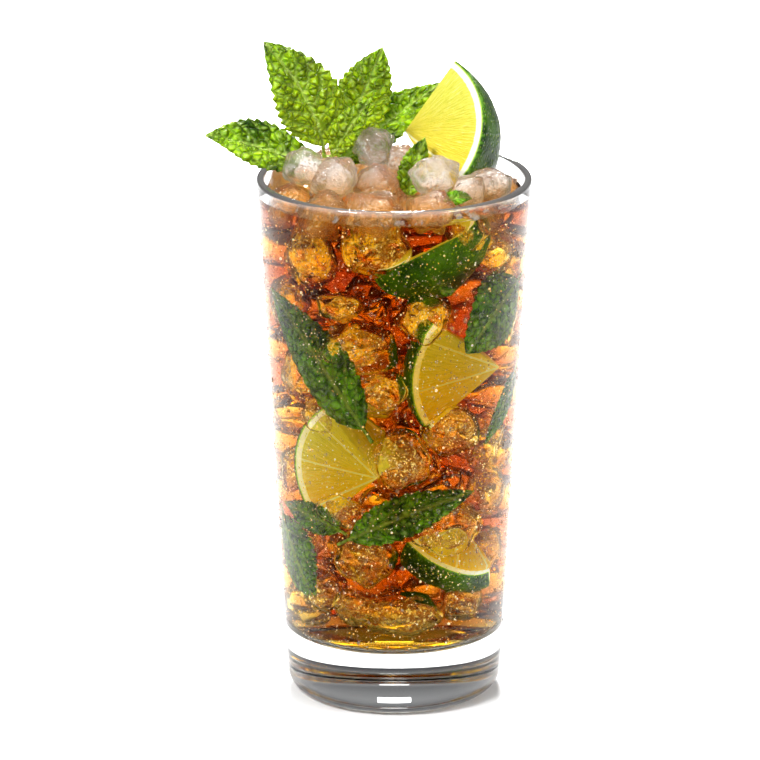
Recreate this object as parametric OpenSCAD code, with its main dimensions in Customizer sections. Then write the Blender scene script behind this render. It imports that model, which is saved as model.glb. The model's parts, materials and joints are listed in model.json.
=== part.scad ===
// A tall iced rum and mint drink: heavy-based highball glass, the drink with a crown of
// ice lumps at its surface, a lime wedge, a mint sprig and one loose mint leaf.
// Millimetres, +Z up. The origin is the centre of the foot, on the table.

/* [Glass] */
// Height of the glass, from the table to the top of the lip
glass_h = 152; // [130:1:185]
// Outer diameter at the lip
lip_d = 78; // [65:1:94]
// Outer diameter of the straight wall where it meets the heel
foot_d = 61.4; // [51:0.2:74]
// Thickness of the wall, which is also the thickness of the round lip
wall = 2.3; // [1.8:0.1:2.8]
// Thickness of the solid base
base_t = 18.5; // [12:0.5:24]
// Radius of the outer corner between wall and foot
heel_r = 5.5; // [4:0.5:7]
// Radius of the inner corner between wall and floor
floor_r = 4; // [2.5:0.5:5]
// Depth of the shallow hollow under the base
punt_h = 1.6; // [1:0.1:2.4]
// Width of the flat ring that the glass stands on
foot_ring = 2.4; // [1.6:0.1:3.2]

/* [Drink] */
// Distance from the lip down to the surface of the drink
headspace = 5.5; // [4.5:0.5:8]
// How far the drink climbs up the wall at its edge
meniscus = 0.8; // [0.4:0.1:1.2]

/* [Ice] */
// Free gap between the outermost lumps and the glass
ice_gap = 0.3; // [0.2:0.05:0.6]
// How squarely the lumps are broken: low is round, high is sharp
ice_edge = 7; // [4:1:12]

/* [Lime] */
// Diameter of the lime across its equator
lime_d = 49; // [41:1:59]
// Distance from the cut equator to the lime's end
lime_half = 30; // [25:1:36]
// Angle of the wedge cut from the half lime
lime_angle = 108; // [90:1:125]
// Turn of the cut face, away from square on to the front
lime_turn = 30; // [22:1:38]
// Angle above level of the wedge's upper edge on the cut face
lime_rise = 66; // [58:1:74]
// Lean of the cut face backwards
lime_lean = 30; // [24:1:36]

/* [Mint] */
// Thickness of a leaf
leaf_t = 0.6; // [0.5:0.05:0.8]
// Scale of the sprig's leaves
leaf_scale = 1; // [0.83:0.01:1.2]
// Teeth along each side of a leaf
leaf_teeth = 8; // [6:1:10]
// Depth of the teeth, as a share of the half width
tooth_depth = 0.13; // [0.05:0.01:0.2]
// Diameter of the stem
stem_d = 2.8; // [2.2:0.1:3.4]
// How far the stem reaches down into the drink
stem_sunk = 14; // [8:1:22]

/* [Hidden] */
$fn = 64;
ICE_COUNT = 27;

GOLDEN_TURN = 137.508;    // degrees from one point of a sunflower spiral to the next
GOLDEN_SHARE = 0.618034;
lip_r = lip_d / 2;
foot_r = foot_d / 2;
level = glass_h - headspace;
mouth_r = lip_r - wall;
// The crown of ice was laid out for a mouth of this radius, and fills any other one alike.
CROWN_R = 36.7;
crown = (mouth_r - ice_gap) / (CROWN_R - 0.3);
ARC_STEPS = 10;

// ---- Glass and drink ----

function arc(cx, cy, r, from, to, steps = ARC_STEPS) =
    [for (k = [0:steps]) let (a = from + (to - from) * k / steps) [cx + r * cos(a), cy + r * sin(a)]];

// The wall leans by this angle: its outer face runs from the heel to the lip.
wall_lean = atan((lip_r - foot_r) / (glass_h - heel_r - wall / 2));
function outer_r(z) = foot_r + (z - heel_r) * tan(wall_lean);
function inner_r(z) = outer_r(z) - wall / cos(wall_lean);

module glass_profile() {
    lip_mid_r = (outer_r(glass_h - wall / 2) + inner_r(glass_h - wall / 2)) / 2;
    ring_out = foot_r - heel_r;
    ring_in = ring_out - foot_ring;
    punt_r = (ring_in * ring_in + punt_h * punt_h) / (2 * punt_h);
    punt_half = asin(ring_in / punt_r);
    polygon(concat(
        arc(0, punt_h - punt_r, punt_r, 90, 90 - punt_half),
        arc(ring_out, heel_r, heel_r, -90, 0),
        arc(lip_mid_r, glass_h - wall / 2, wall / 2, -wall_lean, 180 - wall_lean),
        arc(inner_r(base_t + floor_r) - floor_r, base_t + floor_r, floor_r, -wall_lean, -90),
        [[0, base_t]]));
}

module glass() {
    color([0.92, 0.96, 0.96, 0.35]) rotate_extrude() glass_profile();
}

// The inside of the glass up to the drink's surface, which climbs a little at the wall.
module drink_body() {
    edge_r = inner_r(level + meniscus);
    rotate_extrude() polygon(concat(
        [[0, base_t]],
        arc(inner_r(base_t + floor_r) - floor_r, base_t + floor_r, floor_r, -90, -wall_lean),
        [[edge_r, level + meniscus]],
        [for (k = [1:4]) let (t = k / 4) [edge_r - 2 * meniscus * t, level + meniscus * pow(1 - t, 2)]],
        [[0, level]]));
}

module drink() {
    color([0.72, 0.30, 0.06, 0.8]) difference() {
        drink_body();
        for (k = [0:ICE_COUNT - 1]) if (ice_low(k) < level + meniscus) ice_lump(k);
        lime_body();
        stem();
        loose_leaf();
    }
}

// ---- Ice lumps: rounded bodies broken by a few random flats ----

// Places and sizes in millimetres: x, y, height of the centre above the drink, width, depth, height.
// The first eight stand above the rest, which float half sunk.
ICE = [
    [-24.5, -5, 8.8, 12, 9, 10.5],   // a: left peak
    [-17, -13.5, 8, 11, 10.5, 10.5],  // b
    [-6, 2.6, 13.2, 10, 10, 10],         // c: the highest
    [1.2, 6.6, 7.8, 9, 9, 9],          // d
    [-5, -10.5, 6.6, 12, 9, 8.5],    // e: pale one in front
    [10.8, -17.8, 10.3, 12.5, 9, 10], // f
    [27.3, -15.6, 6.4, 11, 9, 9.5],  // g
    [20, -21.6, 6.8, 9, 7.5, 7.5],   // h
    [10, -28, 2.2, 12, 10, 11],      // i: by the wall in front
    [-6, -29, 2.2, 15, 10.5, 10.5],  // j: the widest, by the wall in front
    [-29, -10.5, 0, 9.5, 12, 10.5],
    [23.5, -18.5, -1.5, 10, 9, 9],
    [31.2, 6.5, -1, 8.5, 11, 9],
    [-30.5, 6, 1.5, 9, 12, 9.5],
    [-19.5, -22.5, 0, 12, 11, 11],
    [-19.2, -9, -1.2, 10, 10, 10],
    [-6.5, -17, -1.5, 12, 11, 9],
    [3.5, -16, -1, 8, 10, 10],
    [-9, -4, -1, 11, 10, 11],
    [2, -3, 0, 10, 11, 11],
    [-19.5, 19, 0.8, 13, 12, 12],
    [-7, 25.5, 0.8, 12, 13, 12],
    [5, 21, 1, 11, 11, 12],
    [-1.5, 12.5, 0, 9, 9, 10],
    [13.5, 28, 0, 11, 9, 11],
    [23.5, 20.5, -2.5, 11, 10, 10],
    [-9.5, 13.5, 3.5, 9, 9, 9.5],
];

function ice_low(k) = level + (ICE[k][2] - ICE[k][5] / 2) * crown;
function share(x) = x - floor(x);

function turned(v, a, b) =
    let (x = v[0], y = v[1] * cos(a) - v[2] * sin(a), z = v[1] * sin(a) + v[2] * cos(a))
    [x * cos(b) + z * sin(b), y, z * cos(b) - x * sin(b)];

// The flats of lump number k, each a direction divided by its distance from the centre.
ICE_FLATS = 11;
function ice_flats(k) = [for (j = [0:ICE_FLATS - 1]) let (
    z = 1 - 2 * (j + 0.5) / ICE_FLATS,
    a = GOLDEN_TURN * j + 77 * k,
    away = 0.78 + 0.44 * share(GOLDEN_SHARE * j + 0.37 * k))
    turned([sqrt(1 - z * z) * cos(a), sqrt(1 - z * z) * sin(a), z], 53 * k, 31 * k) / away];

function total(list) = list * [for (v = list) 1];
function ice_reach(v, flats) =
    pow(total([for (f = flats) pow(max(0, v * f), ice_edge)]), -1 / ice_edge);

ICE_RINGS = 7;
ICE_SIDES = 10;
function ice_points(k) = let (flats = ice_flats(k)) concat(
    [[0, 0, -1] * ice_reach([0, 0, -1], flats)],
    [for (i = [1:ICE_RINGS - 1], j = [0:ICE_SIDES - 1]) let (
        b = -90 + 180 * i / ICE_RINGS, a = 360 * (j + (i % 2) / 2) / ICE_SIDES,
        v = [cos(b) * cos(a), cos(b) * sin(a), sin(b)]) v * ice_reach(v, flats)],
    [[0, 0, 1] * ice_reach([0, 0, 1], flats)]);

// Moves and stretches points so that their box is centred at the origin, two units a side.
function boxed(p) = let (
    lo = [for (i = [0:2]) min([for (q = p) q[i]])],
    hi = [for (i = [0:2]) max([for (q = p) q[i]])])
    [for (q = p) [for (i = [0:2]) (2 * q[i] - lo[i] - hi[i]) / (hi[i] - lo[i])]];

function ice_faces() = let (n = ICE_SIDES, last = 1 + (ICE_RINGS - 1) * n) concat(
    [for (j = [0:n - 1]) [0, 1 + j, 1 + (j + 1) % n]],
    [for (i = [0:ICE_RINGS - 3], j = [0:n - 1]) let (
        a = 1 + i * n + j, b = 1 + i * n + (j + 1) % n, c = a + n, d = b + n)
        i % 2 == 1 ? [a, c, b] : [a, d, b]],
    [for (i = [0:ICE_RINGS - 3], j = [0:n - 1]) let (
        a = 1 + i * n + j, b = 1 + i * n + (j + 1) % n, c = a + n, d = b + n)
        i % 2 == 1 ? [b, c, d] : [a, c, d]],
    [for (j = [0:n - 1]) [last, 1 + (ICE_RINGS - 2) * n + (j + 1) % n, 1 + (ICE_RINGS - 2) * n + j]]);

module ice_lump(k) {
    row = ICE[k];
    size = [row[3], row[4], row[5]] / 2 * crown;
    at = [row[0] * crown, row[1] * crown, level + row[2] * crown];
    polyhedron([for (p = boxed(ice_points(k))) [for (i = [0:2]) at[i] + size[i] * p[i]]], ice_faces());
}

module ice(k) {
    color([0.93, 0.95, 0.96, 0.6]) ice_lump(k);
}

// ---- Lime wedge ----

lime_r = lime_d / 2;
LIME_STEPS = 14;
LIME_FULLNESS = 2.7; // 2 would be an ellipse
// The half lime is fuller than an ellipse and ends in a low nipple.
function lime_profile() = concat(
    [[0, 0]],
    [for (k = [0:LIME_STEPS]) let (a = 90 * k / LIME_STEPS)
        [lime_r * pow(cos(a), 2 / LIME_FULLNESS),
         (lime_half - 1.5) * pow(sin(a), 2 / LIME_FULLNESS) + 1.5 * pow(sin(a), 20)]]);

// The wedge's thin edge starts here on the cut face, over the middle of the glass.
lime_tip = [3 * crown, 0, level + 18.3];

module lime_body() {
    translate(lime_tip) rotate([0, 0, -lime_turn]) rotate([-90 - lime_lean, 0, 0])
        rotate([0, 0, -lime_rise]) rotate_extrude(angle = lime_angle) polygon(lime_profile());
}

module lime_wedge() {
    color([0.72, 0.80, 0.25]) lime_body();
}

// ---- Mint ----

function unit(v) = v / norm(v);
function bend(p, s) = (1 - s) * (1 - s) * p[0] + 2 * s * (1 - s) * p[1] + s * s * p[2];
function slope(p, s) = unit((1 - s) * (p[1] - p[0]) + s * (p[2] - p[1]));

// Half the width of a leaf at share s of its length, as a share of its widest half. The
// first tenth is the stalk.
LEAF_STALK = 0.1;
function leaf_outline(s) = let (t = max(0, s - LEAF_STALK) / (1 - LEAF_STALK))
    pow(max(0, sin(180 * pow(t, 0.72))), 0.85);
function leaf_tooth(s) = 1 + tooth_depth * (share(s * leaf_teeth) - 0.6);

LEAF_STEPS = 3 * leaf_teeth;
LEAF_HALF = 2;
STALK_HALF = 0.55; // half width of the leaf stalk, in millimetres
TIP_HALF = 0.25;

// p: base, middle and tip of the midrib; up: the side that faces up; fold: how far the halves are raised.
function leaf_points(p, width, up, fold, droop) =
    [for (i = [0:LEAF_STEPS], j = [-LEAF_HALF:LEAF_HALF], side = [-1, 1]) let (
        s = i / LEAF_STEPS,
        along = slope(p, s),
        across = unit(cross(along, up)),
        out = cross(across, along),
        t = j / LEAF_HALF,
        blade = width / 2 * leaf_outline(s) * (abs(t) == 1 ? leaf_tooth(s) : 1),
        half = max(STALK_HALF * (1 - s), TIP_HALF, blade),
        lift = half * (abs(t) * sin(fold) - droop * t * t),
        thick = leaf_t / 2 * (abs(t) == 1 ? 0.6 : 1))
        bend(p, s) + across * (half * t * cos(fold)) + out * (lift + side * thick)];

function leaf_faces() = let (w = 2 * (2 * LEAF_HALF + 1), n = LEAF_STEPS) concat(
    [for (i = [0:n - 1], j = [0:2 * LEAF_HALF - 1], f = [0, 1]) let (
        a = i * w + 2 * j, b = a + 2, c = a + w, d = b + w) f == 0 ? [a, b, d] : [a, d, c]],
    [for (i = [0:n - 1], j = [0:2 * LEAF_HALF - 1], f = [0, 1]) let (
        a = i * w + 2 * j + 1, b = a + 2, c = a + w, d = b + w) f == 0 ? [a, d, b] : [a, c, d]],
    [for (i = [0:n - 1], f = [0, 1]) let (a = i * w) f == 0 ? [a, a + w, a + w + 1] : [a, a + w + 1, a + 1]],
    [for (i = [0:n - 1], f = [0, 1]) let (a = i * w + w - 2)
        f == 0 ? [a, a + w + 1, a + w] : [a, a + 1, a + w + 1]],
    [for (j = [0:2 * LEAF_HALF - 1], f = [0, 1]) let (a = 2 * j)
        f == 0 ? [a, a + 1, a + 3] : [a, a + 3, a + 2]],
    [for (j = [0:2 * LEAF_HALF - 1], f = [0, 1]) let (a = n * w + 2 * j)
        f == 0 ? [a, a + 3, a + 1] : [a, a + 2, a + 3]]);

module leaf(p, width, up, fold = 18, droop = 0.12) {
    polyhedron(leaf_points(p, width, up, fold, droop), leaf_faces());
}

// The stem leans a little. Its leaves leave it one above another, each from its own side.
stem_top = [-19.2 * crown, 5.5 * crown, level + 9.5];
stem_foot = [-17 * crown, 7 * crown, level - stem_sunk];
function stem_at(z) = stem_foot + (stem_top - stem_foot) * (z - stem_foot[2]) / (stem_top[2] - stem_foot[2]);

// Mint has a square stem; its corners are blunt.
STEM_SIDES = 8;
module stem() {
    way = stem_top - stem_foot;
    translate(stem_foot) rotate([0, acos(way[2] / norm(way)), atan2(way[1], way[0])])
        cylinder(h = norm(way), d = stem_d, $fn = STEM_SIDES);
}

// Each leaf: height of its stalk above the drink, then, from the stalk's start, the way to the
// middle of the midrib and to the tip, and its width, upper side and fold.
LEAVES = [
    [9.2, [-1, -2, 17], [-16.8, -3, 34.5], 20, [0.3, -0.93, 0.15], 14],
    [7.4, [9.5, 7.5, 17.5], [15, 7, 32], 17.5, [0.2, -0.95, 0.2], 18],
    [5.2, [-18, -4, 8.8], [-33.8, -6, 12], 17, [-0.15, -0.65, 0.75], 24],
    [4.4, [11, 9, 10], [32, 10, 24], 15, [-0.3, -0.85, 0.6], 16],
    [8.4, [5, -6, 10], [12, -5, 19.5], 10, [-0.4, -0.85, 0.3], 30],
];
// A stalk starts inside the stem, this share of the way from its axis to its surface.
STALK_START = 0.5;

module sprig_leaf(row) {
    side = unit([row[2][0], row[2][1], 0]);
    from = stem_at(level + row[0]) + side * stem_d / 2 * STALK_START;
    leaf([from, from + row[1] * leaf_scale, from + row[2] * leaf_scale], row[3] * leaf_scale, row[4], row[5]);
}

module mint_sprig() {
    color([0.24, 0.50, 0.10]) union() {
        stem();
        for (row = LEAVES) sprig_leaf(row);
    }
}

// The loose leaf stands in front of the lime, its stalk in the drink.
module loose_leaf() {
    foot = [4 * crown, -10 * crown, level + 0.5];
    leaf([foot, foot + [0.2, -1, 9], foot + [4.6, -0.5, 18.8]], 9, [0.15, -1, 0.1], 14);
}

module mint_leaf() {
    color([0.30, 0.55, 0.12]) loose_leaf();
}

glass();
drink();
lime_wedge();
mint_sprig();
mint_leaf();
for (k = [1:ICE_COUNT]) ice(k - 1);
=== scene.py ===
"""Looks of a tall iced mint and lime drink: glass, drink, ice, lime, mint and bubbles."""
import json
import math

import bmesh
import bpy
import numpy as np
from bpy.props import FloatProperty, FloatVectorProperty, IntProperty, PointerProperty
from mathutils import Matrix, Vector, noise

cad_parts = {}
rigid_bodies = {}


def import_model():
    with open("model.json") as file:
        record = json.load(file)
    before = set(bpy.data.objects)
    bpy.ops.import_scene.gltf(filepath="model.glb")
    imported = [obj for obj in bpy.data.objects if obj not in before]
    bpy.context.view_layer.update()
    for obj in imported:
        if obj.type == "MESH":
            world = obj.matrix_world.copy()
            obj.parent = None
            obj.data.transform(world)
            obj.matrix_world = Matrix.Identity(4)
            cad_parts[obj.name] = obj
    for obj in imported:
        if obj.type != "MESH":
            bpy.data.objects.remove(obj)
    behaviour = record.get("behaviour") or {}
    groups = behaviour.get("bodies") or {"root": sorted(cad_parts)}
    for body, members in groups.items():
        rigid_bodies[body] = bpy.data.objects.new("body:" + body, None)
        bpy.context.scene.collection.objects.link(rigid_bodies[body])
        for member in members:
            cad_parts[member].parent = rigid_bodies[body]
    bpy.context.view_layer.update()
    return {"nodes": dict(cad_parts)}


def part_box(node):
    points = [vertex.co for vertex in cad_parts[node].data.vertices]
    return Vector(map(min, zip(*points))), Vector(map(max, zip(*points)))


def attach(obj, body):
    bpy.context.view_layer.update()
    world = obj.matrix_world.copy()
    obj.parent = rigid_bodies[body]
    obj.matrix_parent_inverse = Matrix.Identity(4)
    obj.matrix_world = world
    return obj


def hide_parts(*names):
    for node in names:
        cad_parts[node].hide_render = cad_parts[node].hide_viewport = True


bl_info = {
    "name": "Iced mint and lime drink",
    "version": (1, 0, 0),
    "blender": (4, 5, 0),
    "location": "3D View > Sidebar > Drink",
    "description": "Builds a highball glass of iced drink with its lime, mint, ice and bubbles",
    "category": "Object",
}

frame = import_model()
BODY = "root"
MM = 0.001
GLASS_LOW, GLASS_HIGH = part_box("glass")
GLASS_H = GLASS_HIGH.z / MM
LIP_R = GLASS_HIGH.x / MM
ICE_NODES = sorted((n for n in frame["nodes"] if n.startswith("ice_")), key=lambda n: int(n[4:]))


# ---- Sizes and colours that a user would change ----

def length(name, text, mm):
    return FloatProperty(name=name, description=text + ", mm", default=mm)


class DrinkSettings(bpy.types.PropertyGroup):
    """Sizes in millimetres and colours of the whole drink"""
    foot_r: length("Foot radius", "Outer radius of the wall at the heel", 30.7)
    wall: length("Wall", "Thickness of the glass wall", 2.3)
    base_t: length("Base", "Thickness of the solid base", 18.5)
    heel_r: length("Heel radius", "Outer corner radius at the foot", 5.5)
    floor_r: length("Floor radius", "Inner corner radius", 4.0)
    punt_h: length("Punt", "Depth of the hollow under the base", 1.6)
    foot_ring: length("Foot ring", "Width of the ring it stands on", 2.4)
    headspace: length("Headspace", "From the lip to the drink", 5.5)
    meniscus: length("Meniscus", "Climb of the drink at the wall", 0.8)
    reach: length("Reach", "How far the drink reaches into the wall", 0.15)
    drink_tint: FloatVectorProperty(name="Drink colour", subtype="COLOR", size=3,
                                    description="Colour that the drink lets through",
                                    default=(0.87, 0.715, 0.0))
    drink_depth: FloatProperty(name="Drink strength", description="Absorption per metre",
                               default=265.0)
    bubble_count: IntProperty(name="Bubbles", description="Bubbles in the drink", default=6400)
    mist_count: IntProperty(name="Droplets", description="Fine droplets on the glass", default=4800)
    chip_count: IntProperty(name="Ice chips", description="Small ice chips at the surface",
                            default=900)


def settings():
    return bpy.context.scene.iced_drink


# ---- Shader nodes written as expressions ----

class Val:
    """A socket of a node tree. Sums and products of it add Math nodes."""

    def __init__(self, shader, socket):
        self.shader, self.socket = shader, socket

    def math(self, operation, a, b):
        return self.shader.node("ShaderNodeMath", {"operation": operation}, {0: a, 1: b})

    def __add__(self, other):
        return self.math("ADD", self, other)

    def __sub__(self, other):
        return self.math("SUBTRACT", self, other)

    def __rsub__(self, other):
        return self.math("SUBTRACT", other, self)

    def __mul__(self, other):
        return self.math("MULTIPLY", self, other)

    def span(self, low, high, to_low=0.0, to_high=1.0):
        """Carries low..high over to to_low..to_high, smoothly and clamped."""
        return self.shader.node("ShaderNodeMapRange", {"interpolation_type": "SMOOTHSTEP"},
                                {0: self, 1: low, 2: high, 3: to_low, 4: to_high})


class Shader:
    """A material being built from nodes."""

    def __init__(self, name):
        self.material = bpy.data.materials.new(name)
        self.material.use_nodes = True
        self.tree = self.material.node_tree
        self.tree.nodes.clear()
        self.output = self.tree.nodes.new("ShaderNodeOutputMaterial")

    def node(self, kind, setup=None, sockets=None, out=0):
        node = self.tree.nodes.new(kind)
        for key, value in (setup or {}).items():
            setattr(node, key, value)
        for key, value in (sockets or {}).items():
            if isinstance(value, Val):
                self.tree.links.new(value.socket, node.inputs[key])
            else:
                node.inputs[key].default_value = value
        return Val(self, node.outputs[out])

    def mix(self, share, a, b, blend="MIX"):
        return self.node("ShaderNodeMix", {"data_type": "RGBA", "blend_type": blend},
                         {0: share, 6: rgba(a), 7: rgba(b)}, out=2)

    def attribute(self, name, vector=False):
        return self.node("ShaderNodeAttribute", {"attribute_name": name}, out=1 if vector else 2)

    def place(self):
        return self.node("ShaderNodeTexCoord", out=3)

    def noise(self, scale, detail=2.0, rough=0.5, vector=None):
        return self.node("ShaderNodeTexNoise", None,
                         {"Vector": vector or self.place(), "Scale": scale, "Detail": detail,
                          "Roughness": rough})

    def cells(self, scale, vector=None, feature="F1"):
        return self.node("ShaderNodeTexVoronoi", {"feature": feature},
                         {"Vector": vector or self.place(), "Scale": scale})

    def bump(self, height, strength, distance):
        return self.node("ShaderNodeBump", None,
                         {"Height": height, "Strength": strength, "Distance": distance})

    def finish(self, volume=None, **inputs):
        named = {key.replace("_", " "): value for key, value in inputs.items()}
        surface = self.node("ShaderNodeBsdfPrincipled", None, named)
        self.tree.links.new(surface.socket, self.output.inputs["Surface"])
        if volume:
            self.tree.links.new(volume.socket, self.output.inputs["Volume"])
        return self.material


def rgba(color):
    return color if isinstance(color, Val) else (*color[:3], 1.0)


# ---- Meshes ----

def make_piece(name, points, faces, material, slot, values=None, vectors=None, weld=False,
               recalc=False):
    """A mesh piece from points in millimetres, with per-point values for its material."""
    mesh = bpy.data.meshes.new(name)
    mesh.from_pydata([tuple(p) for p in np.asarray(points, float) * MM], [], faces)
    for key, numbers in (values or {}).items():
        mesh.attributes.new(key, "FLOAT", "POINT").data.foreach_set(
            "value", np.asarray(numbers, np.float32))
    for key, numbers in (vectors or {}).items():
        mesh.attributes.new(key, "FLOAT_VECTOR", "POINT").data.foreach_set(
            "vector", np.asarray(numbers, np.float32).ravel())
    if weld or recalc:
        body = bmesh.new()
        body.from_mesh(mesh)
        if weld:
            bmesh.ops.remove_doubles(body, verts=body.verts, dist=2e-6)
            bmesh.ops.dissolve_degenerate(body, edges=body.edges, dist=1e-6)
        bmesh.ops.recalc_face_normals(body, faces=body.faces)
        body.to_mesh(mesh)
        body.free()
    mesh.shade_smooth()
    mesh.materials.append(material)
    return add_piece(name, mesh, slot)


def add_object(name, data):
    thing = bpy.data.objects.new(name, data)
    bpy.context.scene.collection.objects.link(thing)
    return thing


def add_piece(name, mesh, slot):
    piece = add_object(name, mesh)
    piece["slot_name"] = slot
    return piece


def plain_mesh(piece, name):
    """The mesh of a piece after its modifiers."""
    graph = bpy.context.evaluated_depsgraph_get()
    mesh = bpy.data.meshes.new_from_object(piece.evaluated_get(graph), depsgraph=graph)
    mesh.name = name
    return mesh


def node_box(node):
    """Lowest and highest corner of a node of the frame, in millimetres."""
    return [np.array(corner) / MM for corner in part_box(node)]


def settle(piece, *nodes):
    """Rides the finished piece on the body and lets it stand for its nodes."""
    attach(piece, BODY)
    if nodes:
        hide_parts(*nodes)
    return piece


def arc(cx, cy, r, start, end, steps):
    turns = [math.radians(start + (end - start) * k / steps) for k in range(steps + 1)]
    return [(cx + r * math.cos(a), cy + r * math.sin(a)) for a in turns]


def lathe(profile, sides):
    """Turns a profile of (r, z), from the axis and back to it, round the vertical axis."""
    points, rings = [], []
    for r, z in profile:
        if r < 1e-6:
            rings.append([len(points)] * sides)
            points.append((0.0, 0.0, z))
        else:
            rings.append(list(range(len(points), len(points) + sides)))
            turns = [2 * math.pi * k / sides for k in range(sides)]
            points += [(r * math.cos(a), r * math.sin(a), z) for a in turns]
    faces = []
    for low, high in zip(rings, rings[1:]):
        for k in range(sides):
            n = (k + 1) % sides
            corners = [low[k], low[n], high[n], high[k]]
            corners = [c for i, c in enumerate(corners) if c not in corners[:i]]
            if len(corners) > 2:
                faces.append(corners)
    return points, faces


def lean():
    s = settings()
    return math.atan((LIP_R - s.foot_r) / (GLASS_H - s.heel_r - s.wall / 2))


def outer_r(z):
    return settings().foot_r + (z - settings().heel_r) * math.tan(lean())


def inner_r(z):
    return outer_r(z) - settings().wall / math.cos(lean())


def level():
    return GLASS_H - settings().headspace


def bumps(p, scale, seed=0.0):
    """Smooth noise of about -1 to 1 at a place in millimetres."""
    return noise.noise(Vector((p[0] / scale + seed, p[1] / scale - seed, p[2] / scale + 2 * seed)))


def unit(v):
    return np.asarray(v, float) / np.linalg.norm(v)


def press_inside(points, clear=0.35):
    """Presses what would cross the wall of the glass flat against it."""
    points = np.array(points, float)
    r = np.hypot(points[:, 0], points[:, 1])
    room = np.array([inner_r(z) for z in points[:, 2]]) - clear
    points[:, :2] *= np.minimum(1.0, room / np.maximum(r, 1e-6))[:, None]
    return points


# ---- Ice lumps: rounded bodies broken by a few random flats ----

ICE_FLATS = 11
SOFT_EDGE, SHARP_EDGE = 7.0, 18.0
GOLDEN_TURN = 137.508
GOLDEN_SHARE = 0.618034
ICE_DETAIL = 4


def ball():
    """Directions and faces of a round ball."""
    body = bmesh.new()
    bmesh.ops.create_icosphere(body, subdivisions=ICE_DETAIL, radius=1.0)
    points = np.array([v.co[:] for v in body.verts])
    faces = [[v.index for v in f.verts] for f in body.faces]
    body.free()
    return points / np.linalg.norm(points, axis=1)[:, None], faces


def ice_flats(k):
    """Normals of the flats of lump number k, each divided by its distance."""
    flats = []
    for j in range(ICE_FLATS):
        z = 1 - 2 * (j + 0.5) / ICE_FLATS
        a = math.radians(GOLDEN_TURN * j + 77 * k)
        away = 0.78 + 0.44 * ((GOLDEN_SHARE * j + 0.37 * k) % 1.0)
        x, y = math.sqrt(1 - z * z) * math.cos(a), math.sqrt(1 - z * z) * math.sin(a)
        t, u = math.radians(53 * k), math.radians(31 * k)
        y, z = y * math.cos(t) - z * math.sin(t), y * math.sin(t) + z * math.cos(t)
        x, z = x * math.cos(u) + z * math.sin(u), z * math.cos(u) - x * math.sin(u)
        flats.append(np.array((x, y, z)) / away)
    return np.array(flats)


def lump_points(k, directions, low, high, rough, edge=SOFT_EDGE):
    """Points of lump number k, which fills the box from low to high."""
    reach = (np.maximum(0, directions @ ice_flats(k).T) ** edge).sum(1) ** (-1 / edge)
    points = directions * reach[:, None]
    points = (2 * points - points.min(0) - points.max(0)) / (points.max(0) - points.min(0))
    low, high = np.array(low, float), np.array(high, float)
    points = (low + high) / 2 + points * (high - low) / 2
    push = np.array([rough * (1.8 * bumps(p, 4.5, k) + bumps(p, 2.2, k + 5.0)
                              + 0.4 * bumps(p, 0.9, k + 9.0)) for p in points])
    return points + directions * push[:, None]


def join(parts):
    """One list of points and faces from many."""
    points, faces, start = [], [], 0
    for some, their_faces in parts:
        points.append(some)
        faces += [[start + i for i in f] for f in their_faces]
        start += len(some)
    return np.concatenate(points), faces


# Sunk lumps by the wall, seen from the front: turn from the front in degrees, height, width,
# depth, height of the lump, all in millimetres.
NEAR_ICE = [
    (-52, 134, 18, 14, 19), (-10, 138, 20, 14, 18), (-30, 121, 13, 11, 9), (-24, 109, 24, 16, 16),
    (17, 118, 15, 13, 14), (62, 135, 15, 13, 15), (-8, 96, 15, 12, 14), (-62, 98, 13, 12, 18),
    (3, 76, 17.5, 14, 20), (36, 84, 17, 13, 15), (-19, 46, 17.5, 14, 17), (38, 54, 20, 14, 16),
    (-55, 33, 14, 12, 12), (-26, 31, 13, 12, 11), (6, 29, 22, 14, 13), (50, 31, 13, 12, 12),
    (-76, 68, 12, 12, 14), (66, 78, 13, 12, 17), (72, 62, 12, 12, 16), (-74, 118, 13, 12, 15),
    (74, 112, 12, 12, 14), (-45, 88, 12, 10, 12), (-76, 46, 12, 12, 14), (76, 44, 12, 12, 13),
    (40, 141, 13, 11, 10), (-33, 60, 14, 10, 10),
]


# Middles of the sunk lime wedges, kept clear of the lumps behind.
LIME_MIDDLES = np.array([(12, -22, 137), (15, -20, 100), (-14, -18, 70), (13, -13, 36)])
LIME_ROOM = 15.0
ICE_SEED = 11
ICE_ROWS, ROW_HEIGHT, FIRST_ROW = 8, 14.5, 28.0
RING_LUMPS, CORE_LUMPS, CORE_R = 9, 3, 9.0
LUMP_ROOM = 0.86  # share of the mean size that lumps keep between their middles


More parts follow.
